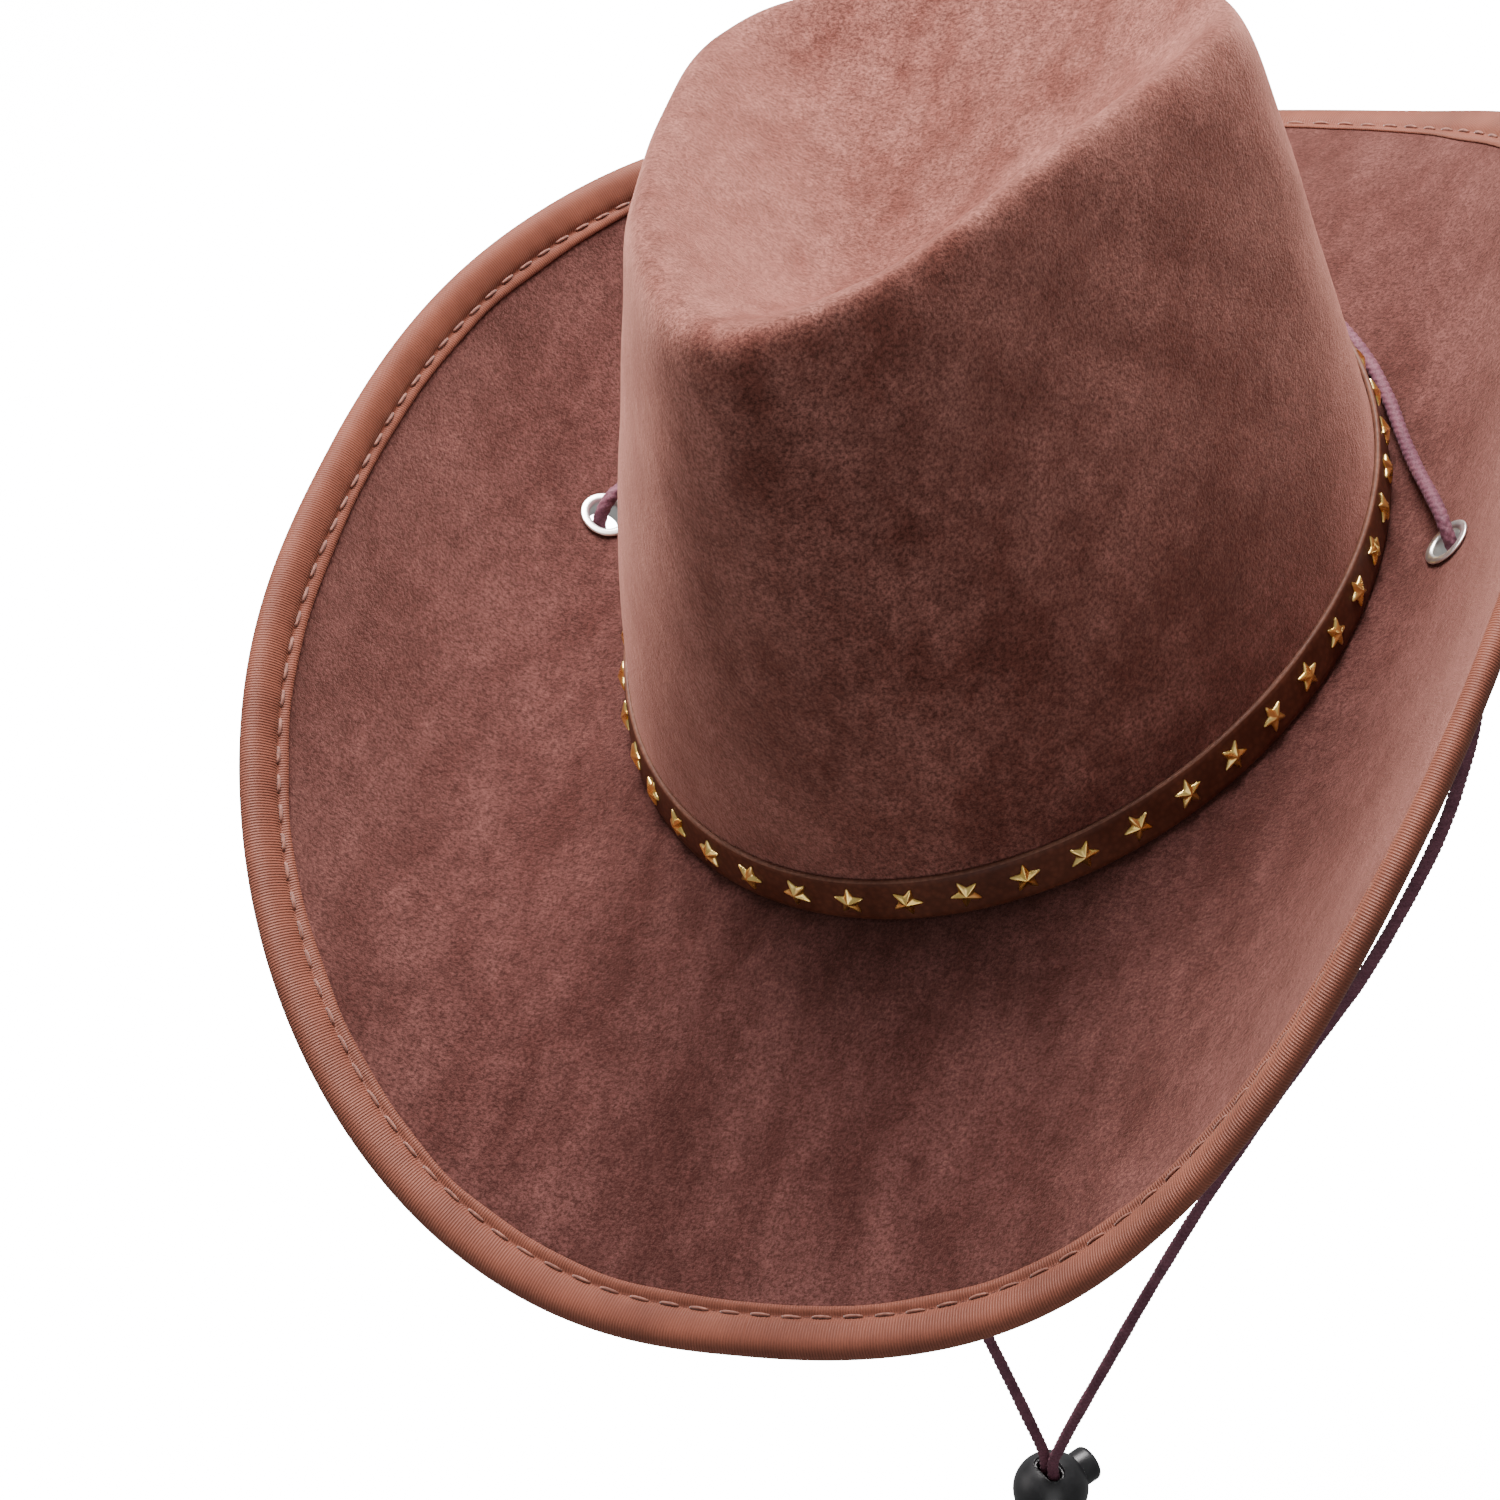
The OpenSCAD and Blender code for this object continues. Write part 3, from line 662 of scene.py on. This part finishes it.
crown_columns, crown_key_count = 360, 9
round_angles = 2 * np.pi * np.arange(crown_columns) / crown_columns


def spline_weights(shares):
    """Weights of the crown's keys on a clamped cubic spline at shares from 0 to 1."""
    knots = np.concatenate([[0] * 3, np.linspace(0, 1, crown_key_count - 2), [1] * 3])
    x = np.clip(shares, 0, 1 - 1e-9)[:, None]
    weights = ((knots[:-1] <= x) & (x < knots[1:])).astype(float)
    for p in (1, 2, 3):
        rise, fall = knots[p:-1] - knots[:-p - 1], knots[p + 1:] - knots[1:-p]
        up = np.where(rise > 0, (x - knots[:-p - 1]) / np.where(rise > 0, rise, 1), 0)
        down = np.where(fall > 0, (knots[p + 1:] - x) / np.where(fall > 0, fall, 1), 0)
        weights = up * weights[:, :-1] + down * weights[:, 1:]
    return weights


def ridge_height(y):
    """Height of the ridge, which falls towards the back."""
    drop = np.clip((y + ridge_front) / (ridge_front + ridge_back), 0, None) ** 1.5
    return crown_front_h - (crown_front_h - crown_back_h) * drop


def base_points(t, inset):
    """Points round the crown's foot."""
    return np.stack([(base_w - inset) * np.sin(t), -(base_l - inset) * np.cos(t), 0 * t], -1)


def dent_point(inset):
    """Middle of the dent."""
    return np.array([crown_lean / 2, dent_y, ridge_height(dent_y) - dent_depth - inset])


def crown_keys(t, inset):
    """Spline keys up the wall, over the soft ridge and down into the dent."""
    cos = np.cos(t)
    reach = np.where(cos > 0, ridge_front + ridge_wide_y - inset, ridge_back - ridge_wide_y - inset)
    y = ridge_wide_y - reach * np.where(cos > 0, np.abs(cos) ** 1.5, cos)
    back = (y + ridge_front) / (ridge_front + ridge_back)
    x = (ridge_half_w - inset) * np.sin(t) + crown_lean * back
    base, ridge = base_points(t, inset), np.stack([x, y, ridge_height(y) - inset], 1)
    dent = np.broadcast_to(dent_point(inset), base.shape)

    def between(a, b, plan, height, lift=0):
        return a + (b - a) * [plan, plan, height] + [0, 0, lift]

    return np.stack([
        base,
        between(base, ridge, 0.14, 0.28),
        between(base, ridge, 0.4, 0.56),
        between(base, ridge, 0.82, 0.88),
        between(ridge, dent, 0.02, 0, 6),
        between(ridge, dent, 0.17, 0.1, 2),
        between(ridge, dent, 0.45, 0.68),
        between(ridge, dent, 0.75, 1),
        dent,
    ])


def ring_normals(grid):
    """Outward directions of a grid of rings that close on themselves."""
    beside = np.roll(grid, -1, 1) - np.roll(grid, 1, 1)
    return unit(np.cross(beside, np.gradient(grid, axis=0)))


def crown_grid(shares, depth):
    """Rings of the crown from foot to dent, at a depth below its face, with the unevenness of cloth."""
    t = round_angles
    grid = np.tensordot(spline_weights(shares), crown_keys(t, 0), 1)
    s = shares[:, None]
    fade = np.clip((s - 0.05) / 0.2, 0, 1) * np.clip((0.97 - s) / 0.25, 0, 1)
    waves = 0.5 * np.sin(3 * t + 0.5 + 5 * s) + 0.35 * np.sin(5 * t - 2 + 8 * s)
    waves = waves + 0.22 * np.sin(9 * t + 1 - 13 * s)
    x, y, z = np.moveaxis(grid, -1, 0)
    dimples = 0.25 * np.sin(x / 6.5 + y / 10 + z / 17) * np.sin(y / 8 - x / 13 + z / 11)
    grid = grid + (fade * (waves + dimples))[:, :, None] * ring_normals(grid)
    return grid - depth * ring_normals(grid)


crown_shares = np.concatenate([np.linspace(0, 0.4, 44), np.linspace(0.41, 0.97, 66)])


def crown_shell(name, outer, inner, material, node):
    """One cup-shaped layer of the crown, from the dent down to its foot and up again."""
    drop = np.array([0, 0, brim_t])
    inside, outside = crown_grid(crown_shares, inner), crown_grid(crown_shares, outer)
    feet = np.stack([inside[0] - drop, outside[0] - drop])
    rings = np.concatenate([inside[::-1], feet, outside])
    obj = ring_piece(name, rings, "hat", material, node, tips=(dent_point(inner), dent_point(outer)))
    obj.data.set_sharp_from_angle(angle=math.radians(60))


def wall_rings(t, heights, insets):
    """Rings low on the crown's wall at pairs of height and inset."""
    rings = []
    for height, inset in zip(heights, insets):
        upper = np.tensordot(spline_weights(np.array([0.1])), crown_keys(t, inset), 1)[0]
        rings.append(base_points(t, inset) + (upper - base_points(t, inset)) * (height / upper[:, 2:]))
    return np.array(rings)


def make_crown():
    """Suede over a stiff lining, with a sweatband inside that has rounded edges."""
    crown_shell("crown_suede_cloth", 0, suede_t, crown_cloth, "crown_suede")
    crown_shell("crown_lining", suede_t, suede_t + stiffener_t, lining, "crown_stiffener")
    middle = (sweat_outer + sweat_inner) / 2
    wall = np.linspace(-brim_t, sweat_h - 0.6, 12)
    heights = [*wall, sweat_h - 0.1, sweat_h, sweat_h - 0.1, *wall[::-1], -brim_t - 0.3]
    insets = [sweat_inner] * len(wall) + [sweat_inner - 0.15, middle, sweat_outer + 0.15]
    insets += [sweat_outer] * len(wall) + [middle]
    rings = wall_rings(round_angles, heights, insets)
    ring_piece("sweatband_leather", rings, "hat", band_leather, "sweatband")


sweat_stitch_count, sweat_stitch_h, sweat_stitch_turn, sweat_stitch_d = 96, 3, math.radians(2.3), 0.5


def thread_part(path, d, sides=8):
    """One visible stitch: fat in the middle, diving into the cloth at its ends."""
    share = np.linspace(0, 1, len(path))[:, None]
    radius = d / 2 * (0.62 + 0.38 * np.sin(np.pi * share) ** 0.6)
    return capped(tube_rings(path, radius, sides, (0, 0, 1)))


def thread_piece(name, parts, node=()):
    """A row of stitches as one piece."""
    points, faces = merged(parts)
    obj = new_piece(name, points, faces, "hat", stitch_thread, node)
    outward(obj)


def make_sweatband_stitches():
    """A row of stitches near the sweatband's foot, held clear of its face."""
    parts = []
    for k in range(sweat_stitch_count):
        start = 2 * math.pi * k / sweat_stitch_count
        t = start + np.linspace(0, sweat_stitch_turn, 7)
        sunk = 0.3 * (1 - np.sin(np.linspace(0, np.pi, 7)))
        path = wall_rings(t, [sweat_stitch_h], [sweat_inner + 0.22])[0]
        outwards = unit(base_points(t, 0)) * sunk[:, None]
        parts.append(thread_part(path + outwards, sweat_stitch_d))
    thread_piece("sweatband_thread", parts, "sweatband_stitches")


make_crown()
make_sweatband_stitches()

# ---- Brim ----


def power(x, e):
    """Power that keeps the sign."""
    return np.sign(x) * np.abs(x) ** e


def edge_points(t):
    """Outline of the brim's board in plan, squarer in front than behind."""
    cos, sin = np.cos(t), np.sin(t)
    e = 2 / np.where(cos > 0, front_square, back_square)
    y = brim_wide_y - np.where(cos > 0, brim_front, brim_back) * power(cos, e)
    return np.stack([brim_half_w * power(sin, e), y, 0 * t], -1)


def brim_surface(t, reach):
    """Top face of the brim; reach runs from 0 at the crown to 1 at the board's edge."""
    reach = np.broadcast_to(reach, t.shape)
    points = base_points(t, 0) * (1 - reach[..., None]) + edge_points(t) * reach[..., None]
    wavy = 0.55 * np.sin(5 * t + 1.1) + 0.4 * np.sin(8 * t + 0.3) + 0.2 * np.sin(13 * t)
    curl = (side_curl * np.sin(t) ** 2 + wavy) * reach ** 2
    points[..., 2] = curl - end_dip * np.cos(t) ** 2 * reach ** 1.2
    return points


def brim_point(t, reach, height):
    """Point at a height over the brim's top face."""
    t = np.asarray(t, float)
    reach = np.broadcast_to(reach, t.shape)
    low, high = np.maximum(reach - 0.01, 0), reach + 0.01
    out = brim_surface(t, high) - brim_surface(t, low)
    beside = brim_surface(t + 0.01, reach) - brim_surface(t - 0.01, reach)
    normal = unit(np.cross(beside, out)) * -1
    normal = np.where((normal[..., 2] < 0)[..., None], -normal, normal)
    return brim_surface(t, reach) + np.asarray(height)[..., None] * normal


def past_edge(t, distance):
    """Reach of a point some millimetres past the board's edge."""
    out = (brim_surface(t, 1.01) - brim_surface(t, 0.99)) / 0.02
    return 1 + distance / np.linalg.norm(out, axis=-1)


fine_angles = np.linspace(0, 2 * np.pi, 7201)


def even_angles(count):
    """Angles at even distances round the brim's edge."""
    run = runs(brim_surface(fine_angles, 1.0))
    return np.interp(np.arange(count) * run[-1] / count, run, fine_angles)


def eyelet_frame(side):
    """Matrix of an eyelet: its Z is square to the brim. side is 1 on the wearer's left."""
    t = side * eyelet_angle
    seat = brim_point(t, eyelet_reach, 0.0)
    normal = unit(brim_point(t, eyelet_reach, 1.0) - seat)
    turn = Vector((0, 0, 1)).rotation_difference(Vector(normal))
    return Matrix.Translation(Vector(seat)) @ turn.to_matrix().to_4x4()


def in_frame(matrix, points):
    """Points of a frame of their own, in the hat's frame."""
    points = np.asarray(points, float)
    return points @ np.array(matrix.to_3x3()).T + np.array(matrix.translation)


def brim_layer(name, top, bottom, material, node):
    """A flat layer of the brim between two heights, pierced at the eyelets."""
    t = even_angles(480)
    shares = np.concatenate([np.linspace(0, 0.96, 46), [1]])
    widest = past_edge(t, -0.2)
    upper = np.array([brim_point(t, share * widest, top) for share in shares])
    lower = np.array([brim_point(t, share * widest, bottom) for share in shares])
    rings = np.concatenate([upper, lower[::-1]])
    obj = ring_piece(name, rings, "hat", material, node)
    points, faces = capped(lathe_rings([(barrel_d / 2, -10), (barrel_d / 2, 10)], 48))
    cut_away(obj, [cutter(in_frame(eyelet_frame(side), points), faces) for side in (-1, 1)])
    obj.data.shade_smooth()
    obj.data.set_sharp_from_angle(angle=math.radians(50))


def make_brim():
    """A stiff board between two faces of suede, with a wire round its edge."""
    # Both suede faces use the brim's darker copy of the suede, whose darkness is painted shade
    brim_layer("brim_top_cloth", 0, -suede_t, brim_cloth_painted_shade, "brim_top_suede")
    brim_layer("brim_board", -suede_t, -suede_t - core_t, lining, "brim_core")
    brim_layer("brim_under_cloth", -suede_t - core_t, -brim_t, brim_cloth_painted_shade, "brim_under_suede")
    t = even_angles(720)
    wire_r, wire_out = 0.9, 1.35
    turn = np.radians(np.arange(0, 360, 30))
    outs, heights = wire_out + wire_r * np.cos(turn), -brim_t / 2 + wire_r * np.sin(turn)
    wire = [brim_point(t, past_edge(t, out), height) for out, height in zip(outs, heights)]
    ring_piece("brim_wire_drawn", wire, "hat", steel, "brim_wire")


make_brim()

# ---- Binding ----

stitch_pitch, stitch_out, stitch_h, stitch_share, stitch_d = 7, -5.3, 0.34, 0.6, 0.78


def stitch_line():
    """Distance run along the row of stitches at the fine angles, and the number of stitches."""
    run = runs(brim_point(fine_angles, past_edge(fine_angles, stitch_out), 0 * fine_angles))
    return run, round(run[-1] / stitch_pitch)


# One face of the binding, from its lip to the edge: rows of distance past the board's edge, height,
# share of the stitches' pull and share of the lip's wander
binding_face = [
    (-8.0, 0.02, 0, 1), (-8.05, 0.35, 0, 1), (-7.8, 0.60, 0, 1), (-7.2, 0.72, 0, 0.6),
    (-6.5, 0.66, 0.4, 0.2), (-6.0, 0.44, 1, 0), (-5.6, 0.20, 1, 0), (-5.3, 0.14, 1, 0),
    (-5.0, 0.20, 1, 0), (-4.6, 0.50, 1, 0), (-4.0, 0.80, 0.7, 0), (-3.0, 1.02, 0.4, 0),
    (-2.0, 1.14, 0.2, 0), (-0.8, 1.2, 0.1, 0), (0.4, 1.16, 0, 0), (1.5, 0.86, 0, 0),
    (2.4, 0.30, 0, 0), (3.05, -0.45, 0, 0), (3.35, -1.2, 0, 0),
]
# Its inside, round the board's edge: rows of distance past the edge and height
binding_inside = [
    (-7.5, -brim_t), (-2, -brim_t), (1.2, -brim_t + 0.4), (2.6, -brim_t / 2),
    (1.2, -0.4), (-2, 0), (-7.5, 0),
]


def make_binding():
    """Folded tape over a wire: a rolled edge, a groove drawn in by the stitches and a narrow flat lip."""
    t = even_angles(1560)
    run, count = stitch_line()
    phase = (np.interp(t, fine_angles, run) / run[-1] * count) % 1
    pull = np.cos(2 * np.pi * (phase - 0.8)) * 0.5 + 0.5
    wander = 0.22 * np.sin(11 * t + 1) + 0.15 * np.sin(23 * t) + 0.10 * np.sin(41 * t + 2)
    under_face = [(out, -brim_t - height, *shares) for out, height, *shares in binding_face[::-1]]
    rings = []
    for out, height, pulled, drift in binding_face + under_face:
        lift = -0.16 * pulled * pull * (1 if height > -brim_t / 2 else -1)
        rings.append(brim_point(t, past_edge(t, out + drift * wander), height + lift))
    rings += [brim_point(t, past_edge(t, out), height + 0 * t) for out, height in binding_inside]
    ring_piece("brim_binding_tape", rings, "hat", ribbed_tape, "brim_binding")


def make_binding_stitches():
    """Lockstitches in the groove of the tape, on both faces of the brim."""
    run, count = stitch_line()
    hump = np.sin(np.pi * np.linspace(0, 1, 8)) ** 0.7
    rows = (
        ("binding_thread", stitch_h, 1, "binding_stitches"),
        ("binding_thread_under", -brim_t - stitch_h, -1, ()),
    )
    for name, seat, up, node in rows:
        parts = []
        for k in range(count):
            share = np.linspace(0, stitch_share, 8) + 0.01 * math.sin(k * 2.1)
            t = np.interp((k + share) / count * run[-1], run, fine_angles)
            out = stitch_out + 0.12 * math.sin(k * 1.7) + 0.15 * (share - 0.3)
            height = seat + up * (-0.22 + 0.34 * hump)
            parts.append(thread_part(brim_point(t, past_edge(t, out), height), stitch_d))
        thread_piece(name, parts, node)


make_binding()
make_binding_stitches()

# ---- Strap and stars ----


def make_strap():
    """A narrow strap with a slightly domed face and pale cut edges."""
    low, high = strap_low, strap_low + strap_h
    face = np.linspace(0, 1, 9)
    # From the lower bevel up the face, over the upper edge and down the back
    heights = [low + 0.1, *(low + 0.35 + (strap_h - 0.7) * face), high - 0.1, high]
    heights += [high - 0.25, low + 0.25, low]
    bulge = 0.12 * np.sin(np.pi * face)
    bevel, rim = 0.25 - strap_t, 0.6 - strap_t
    insets = [bevel, *(-strap_t - bulge), bevel, rim, -layer_gap, -layer_gap, rim]
    t = 2 * np.pi * np.arange(720) / 720
    rings = wall_rings(t, heights, insets)
    obj = ring_piece("hat_band_strap", rings, "hat", strap_leather, "hat_band")
    obj.data.materials.append(cut_edge)
    for i, polygon in enumerate(obj.data.polygons):
        polygon.material_index = int(i // len(t) in (0, 9, 10, 11, 13, 14, 15))


def star_part(turn):
    """One pressed star with a ridge along each arm, as points and faces in its own frame."""
    columns, rows = 40, (0.22, 0.45, 0.68, 0.86, 0.95, 1.0)
    tip, notch, peak = 1.1, 0.5, 1.5
    around = np.arange(columns) / columns * 10
    corner = np.floor(around).astype(int)
    share = around - corner
    r = star_w / 2 * np.where(corner % 2 == 0, tip, notch)
    r_next = star_w / 2 * np.where(corner % 2 == 0, notch, tip)
    here, beyond = np.radians(36 * corner + turn), np.radians(36 * (corner + 1) + turn)
    rim = np.stack([
        r * (1 - share) * np.cos(here) + r_next * share * np.cos(beyond),
        r * (1 - share) * np.sin(here) + r_next * share * np.sin(beyond),
    ], 1)
    blunt = star_w / 2 / np.linalg.norm(rim, axis=1)
    rim *= np.minimum(1, blunt)[:, None]
    rings = []
    for row in rows:
        height = 0.38 + 1.12 * (1 - row) ** 0.92 - 0.16 * max(0, row - 0.86) / 0.14
        rings.append(np.column_stack([rim * row, np.full(columns, height)]))
    rings += [np.column_stack([rim * row, np.zeros(columns)]) for row in (1.0, 0.5)]
    points, faces = capped(np.array(rings))
    points[-2] = (0, 0, peak)
    return points, faces


def make_stars():
    """Stars at even distances along the strap, each turned a different way."""
    middle = strap_low + strap_h / 2
    fine = np.linspace(0, 2 * np.pi, 2881)
    run = runs(base_points(fine, -strap_t))
    beside = np.array([-0.02, 0, 0.02])
    parts = []
    for k in range(star_count):
        at = (run[-1] * k / star_count + first_star) % run[-1]
        t = np.interp(at, run, fine) + beside
        lower, seat, upper = wall_rings(t, [middle - 3, middle, middle + 3], [-strap_t - 0.14] * 3)
        side, up = unit(seat[2] - seat[0]), unit(upper[1] - lower[1])
        normal = unit(np.cross(side, up))
        points, faces = star_part((k * 47) % 72 + 90)
        parts.append((seat[1] + points @ np.array([side, np.cross(normal, side), normal]), faces))
    points, faces = merged(parts)
    obj = new_piece("band_stars_gold", points, faces, "hat", gold, "band_stars")
    outward(obj)
    obj.data.set_sharp_from_angle(angle=math.radians(38))


make_strap()
make_stars()

# ---- Eyelets ----


def make_eyelets():
    """A flanged barrel over the brim and a washer with the barrel rolled over it below."""
    # Rows of radius and height over the brim's top face
    flange = arc(4.75, 0.35, 0.95, 180, 90, 9)
    flange += [(5.1, 1.29), (5.5, 1.22)]
    flange += arc(5.62, 0.86, 0.36, 70, -80, 9)
    barrel = [(5.0, 0.56), (4.45, 0.5), (4.3, 0.3), (4.3, -brim_t - 0.5)]
    roll = arc(4.45, -brim_t - 0.95, 0.55, 75, -120, 10) + [(3.8, -brim_t - 0.8)]
    washer = [(4.45, -brim_t - 0.02), (6.0, -brim_t - 0.04)]
    washer += arc(5.85, -brim_t - 0.3, 0.24, 80, -80, 7)
    washer += [(5.0, -brim_t - 0.56), (4.5, -brim_t - 0.5)]
    for side, name in ((-1, "right"), (1, "left")):
        matrix = eyelet_frame(side)
        for part, profile in (("eyelet", flange + barrel + roll), ("eyelet_washer", washer)):
            rings = in_frame(matrix, lathe_rings(profile, 96))
            node = f"{part}_{name}"
            piece = ring_piece(f"{node}_plated", rings, "hat", silver, node)
            piece.data.set_sharp_from_angle(angle=math.radians(50))


make_eyelets()

# ---- Floor and light ----


floor_half, floor_gap, backdrop_level, ambient_level = 6, 0.012, 14.0, 0.32
hat_middle = Vector((0, 0, 0.02))


def plain_floor():
    """A pale floor below the knot, bright enough to look white, which casts no light on the hat."""
    mesh = bpy.data.meshes.new("floor")
    low = cad_low.z - floor_gap
    corners = [(x * floor_half, y * floor_half, low) for x, y in ((-1, -1), (1, -1), (1, 1), (-1, 1))]
    mesh.from_pydata(corners, [], [(0, 1, 2, 3)])
    floor = bpy.data.objects.new("floor", mesh)
    bpy.context.collection.objects.link(floor)
    mesh.materials.append(new_material("pale floor", {
        "Base Color": (0.93, 0.93, 0.93, 1),
        "Roughness": 0.95,
        "Emission Color": (1, 1, 1, 1),
        "Emission Strength": backdrop_level,
    }))
    floor.visible_diffuse = floor.visible_glossy = False


def soft_light(name, place_at, size, power_w, colour):
    """A square soft light that points at the hat."""
    light = bpy.data.lights.new(name, "AREA")
    light.size, light.energy, light.color = size, power_w, colour
    obj = bpy.data.objects.new(name, light)
    bpy.context.collection.objects.link(obj)
    obj.location = place_at
    obj.rotation_euler = (Vector(place_at) - hat_middle).to_track_quat("Z", "Y").to_euler()


def studio_world():
    """Even white light all round, and a backdrop as white as the floor where the camera sees it."""
    world = bpy.data.worlds.new("studio")
    bpy.context.scene.world = world
    world.use_nodes = True
    nodes, links = world.node_tree.nodes, world.node_tree.links
    background, path = nodes["Background"], nodes.new("ShaderNodeLightPath")
    background.inputs["Color"].default_value = (1, 1, 1, 1)
    level = nodes.new("ShaderNodeMath")
    level.operation = "MULTIPLY_ADD"
    level.inputs[1].default_value = backdrop_level - ambient_level
    level.inputs[2].default_value = ambient_level
    links.new(path.outputs["Is Camera Ray"], level.inputs[0])
    links.new(level.outputs[0], background.inputs["Strength"])


plain_floor()
soft_light("top light", (-0.15, 0.6, 1.0), 0.9, 74, (1, 0.96, 0.95))
soft_light("side light", (-1.7, -0.3, 0.6), 1.0, 5, (1, 0.92, 0.90))
soft_light("fill light", (1.0, -1.4, 0.6), 1.4, 6, (1, 1, 1))
soft_light("low light", (0.5, -1.3, -0.25), 0.8, 4, (1, 1, 1))
studio_world()
